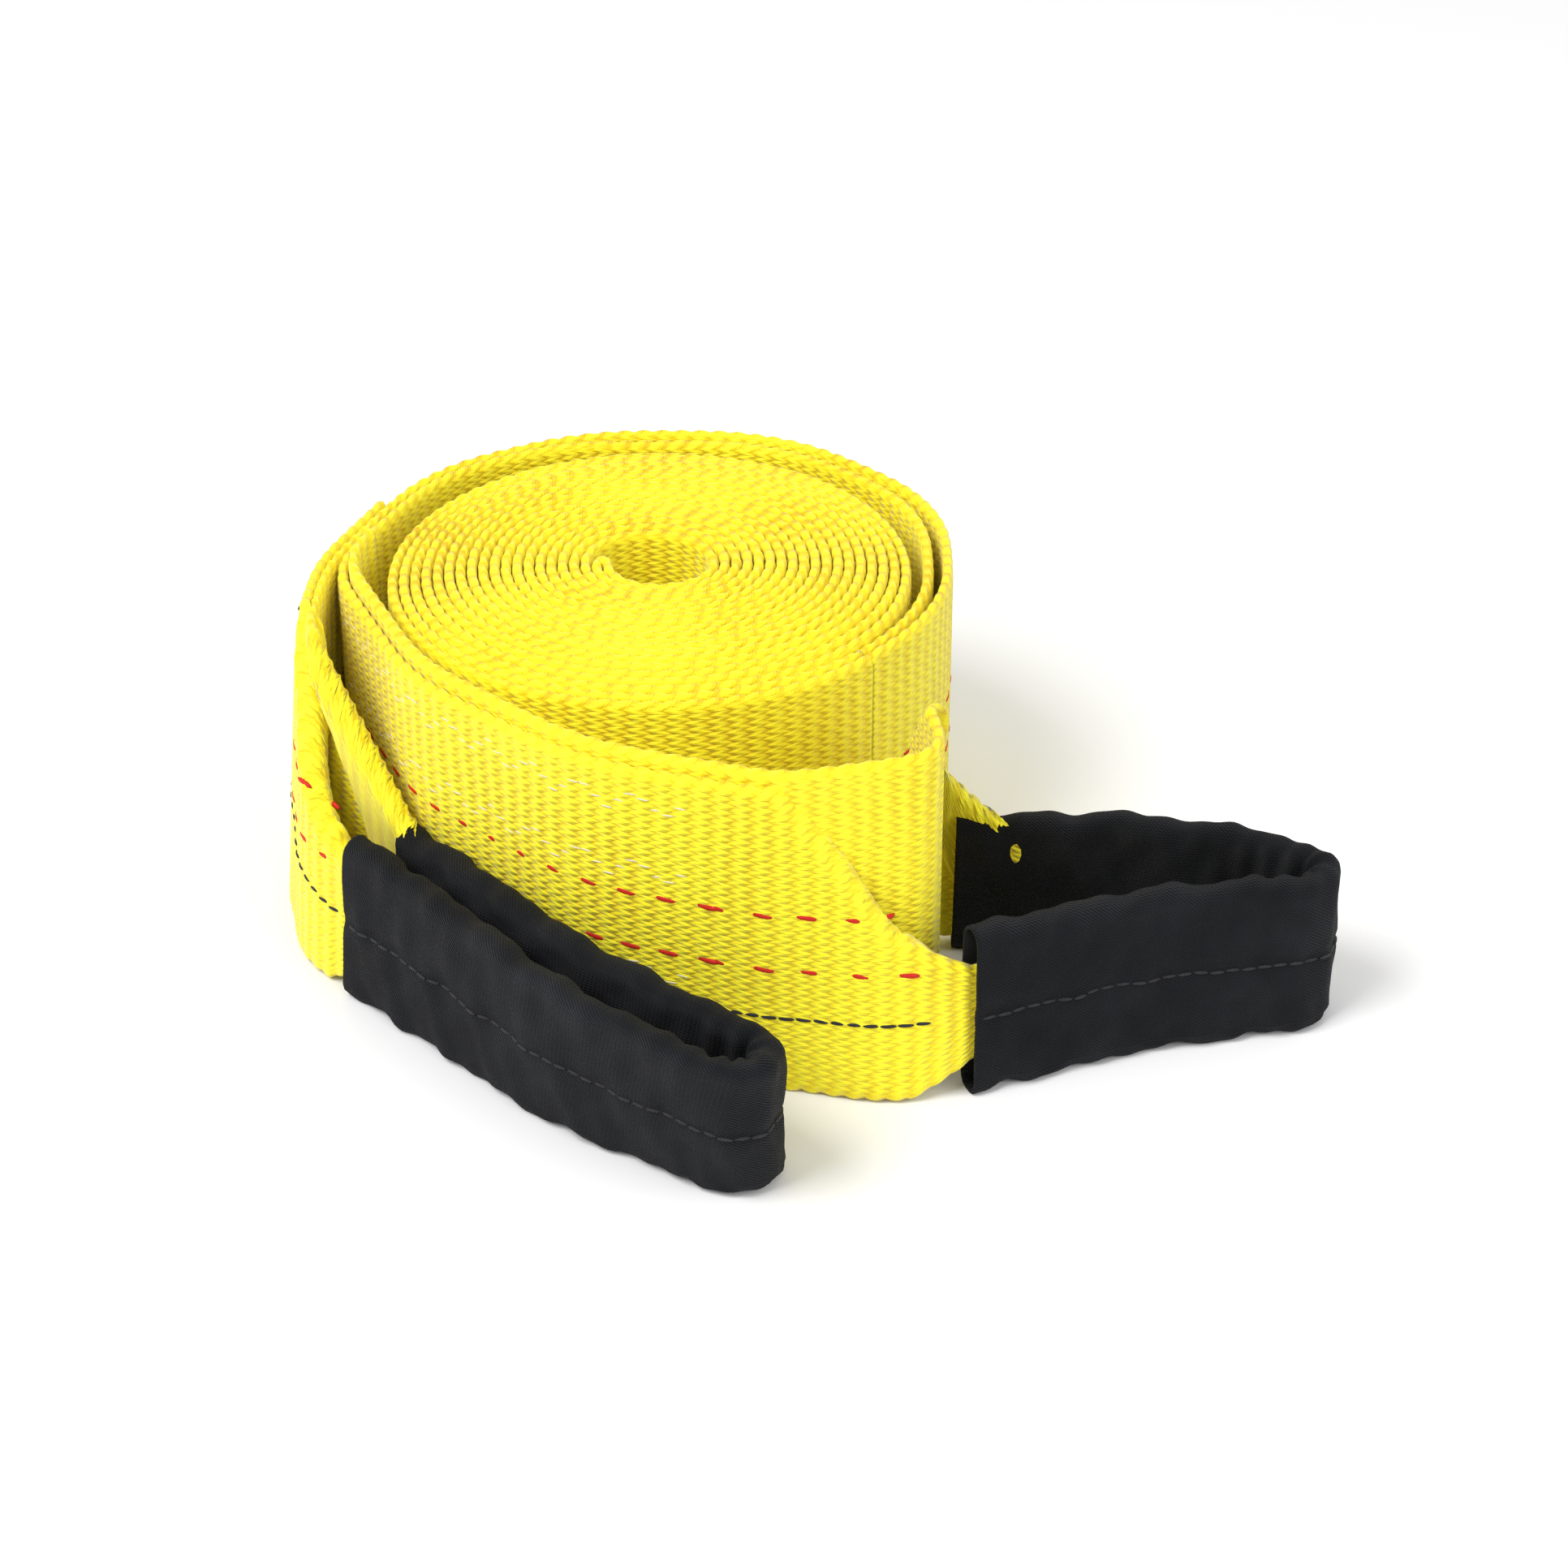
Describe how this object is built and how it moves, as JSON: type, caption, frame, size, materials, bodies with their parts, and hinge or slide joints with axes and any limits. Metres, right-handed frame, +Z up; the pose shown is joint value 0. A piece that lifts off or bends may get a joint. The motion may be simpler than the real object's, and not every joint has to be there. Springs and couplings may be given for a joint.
{
  "type": "rolled recovery tow strap",
  "caption": "Flat woven webbing tow strap rolled up on its edge, with a folded, sleeved lifting eye at each end lying beside the roll.",
  "frame": {"origin": "centre of the whole part's footprint, on the surface it stands on", "axes": "+X runs from the left eye to the right eye, +Y from the eyes' side of the roll towards its back, +Z up along the roll's axis, across the webbing's width"},
  "size_m": [0.2366, 0.2131, 0.075],
  "materials": {
    "webbing": "matte",
    "sleeve_cloth": "matte",
    "dark_thread": "matte",
    "clear_thread": "satin",
    "tracer_yarn": "matte"
  },
  "bodies": {
    "roll": {"rolled_webbing": "webbing", "outer_turn_webbing": "webbing", "inner_turn_webbing": "webbing", "left_splice_strap": "webbing", "left_splice_tail": "webbing", "right_splice_strap": "webbing", "right_splice_tail": "webbing", "left_splice_thread": "dark_thread", "right_splice_thread": "clear_thread", "roll_tracers": "tracer_yarn"},
    "left_eye": {"left_front_leg": "webbing", "left_back_leg": "webbing", "left_eye_loop": "webbing", "left_sleeve": "sleeve_cloth", "left_seam_thread": "dark_thread", "left_eye_tracers": "tracer_yarn"},
    "right_eye": {"right_front_leg": "webbing", "right_back_leg": "webbing", "right_eye_loop": "webbing", "right_sleeve": "sleeve_cloth", "right_seam_thread": "dark_thread", "right_eye_tracers": "tracer_yarn"}
  },
  "joints": [
    {"name": "left_eye_swing", "type": "hinge", "parent": "roll", "child": "left_eye", "pos_m": [-0.11576, 0.00648, 0], "axis": [0, 0, 1], "range_deg": [-40, 0]},
    {"name": "right_eye_swing", "type": "hinge", "parent": "roll", "child": "right_eye", "pos_m": [-0.00681, -0.06498, 0], "axis": [0, 0, 1], "range_deg": [-40, 3]}
  ]
}
